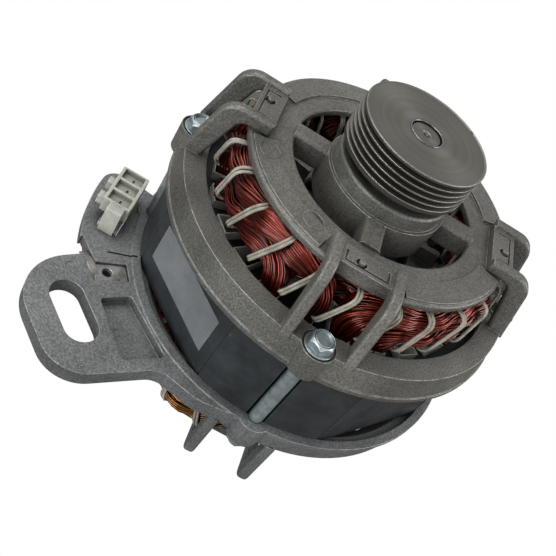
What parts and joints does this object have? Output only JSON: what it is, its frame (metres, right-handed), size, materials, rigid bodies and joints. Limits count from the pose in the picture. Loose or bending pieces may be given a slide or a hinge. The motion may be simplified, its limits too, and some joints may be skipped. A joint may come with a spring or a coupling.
{
  "type": "washing machine motor",
  "caption": "Belt drive induction motor with ribbed pulley, open cast end shields, black stator stack, laced windings and a slotted adjuster lug.",
  "frame": {"origin": "on the shaft axis, in the plane of the rear shield's four feet", "axes": "+Z along the shaft towards the pulley, -X towards the slotted lug"},
  "size_m": [0.175, 0.1356, 0.125],
  "materials": {
    "cast_aluminium": "sand-textured die casting",
    "stator_lamination": "charcoal varnished electrical steel laminations",
    "rotor_steel": "ground steel",
    "bearing_steel": "polished bearing steel",
    "bearing_seal": "nitrile rubber",
    "zinc_steel": "zinc plated",
    "pulley_steel": "turned",
    "enamelled_copper": "enamelled copper wire",
    "slot_paper": "insulation film",
    "lacing_cord": "waxed polyester cord",
    "ivory_nylon": "ivory nylon",
    "tinned_brass": "tinned",
    "red_insulation": "PVC",
    "blue_insulation": "PVC",
    "white_insulation": "PVC",
    "label_film": "silver polyester film, blank"
  },
  "bodies": {
    "root": {"front_end_shield": "cast_aluminium", "rear_end_shield": "cast_aluminium", "stator_core": "stator_lamination", "slot_liners": "slot_paper", "slot_wedges": "slot_paper", "front_lacing": "lacing_cord", "rear_lacing": "lacing_cord", "preload_washer": "zinc_steel", "through_bolts": "zinc_steel", "bolt_nuts": "zinc_steel", "front_washers": "zinc_steel", "rear_washers": "zinc_steel", "connector_housing": "ivory_nylon", "connector_terminals": "tinned_brass", "red_lead": "red_insulation", "blue_lead": "blue_insulation", "white_lead": "white_insulation", "rating_plate": "label_film", "earth_tab": "tinned_brass", "main_coils_1": "enamelled_copper", "start_coils_1": "enamelled_copper", "main_coils_2": "enamelled_copper", "start_coils_2": "enamelled_copper", "main_coils_3": "enamelled_copper", "start_coils_3": "enamelled_copper", "main_coils_4": "enamelled_copper", "start_coils_4": "enamelled_copper", "front_bearing_outer_race": "bearing_steel", "front_bearing_seals": "bearing_seal", "rear_bearing_outer_race": "bearing_steel", "rear_bearing_seals": "bearing_seal"},
    "rotor": {"rotor_core": "rotor_steel", "front_end_ring": "cast_aluminium", "rear_end_ring": "cast_aluminium", "shaft": "rotor_steel", "pulley": "pulley_steel", "pulley_spacer": "rotor_steel", "front_bearing_inner_race": "bearing_steel", "rear_bearing_inner_race": "bearing_steel"},
    "front_ball_set": {"front_bearing_balls": "bearing_steel", "front_bearing_cage": "bearing_steel"},
    "rear_ball_set": {"rear_bearing_balls": "bearing_steel", "rear_bearing_cage": "bearing_steel"}
  },
  "joints": [
    {"name": "rotor_spin", "type": "hinge", "parent": "root", "child": "rotor", "pos_m": [0, 0, 0.06], "axis": [0, 0, 1], "continuous": true},
    {"name": "front_ball_spin", "type": "hinge", "parent": "root", "child": "front_ball_set", "pos_m": [0, 0, 0.095], "axis": [0, 0, 1], "continuous": true},
    {"name": "rear_ball_spin", "type": "hinge", "parent": "root", "child": "rear_ball_set", "pos_m": [0, 0, 0.013], "axis": [0, 0, 1], "continuous": true}
  ],
  "couplings": [
    {"joint": "front_ball_spin", "follows": "rotor_spin", "ratio": 0.3808},
    {"joint": "rear_ball_spin", "follows": "rotor_spin", "ratio": 0.3645}
  ]
}
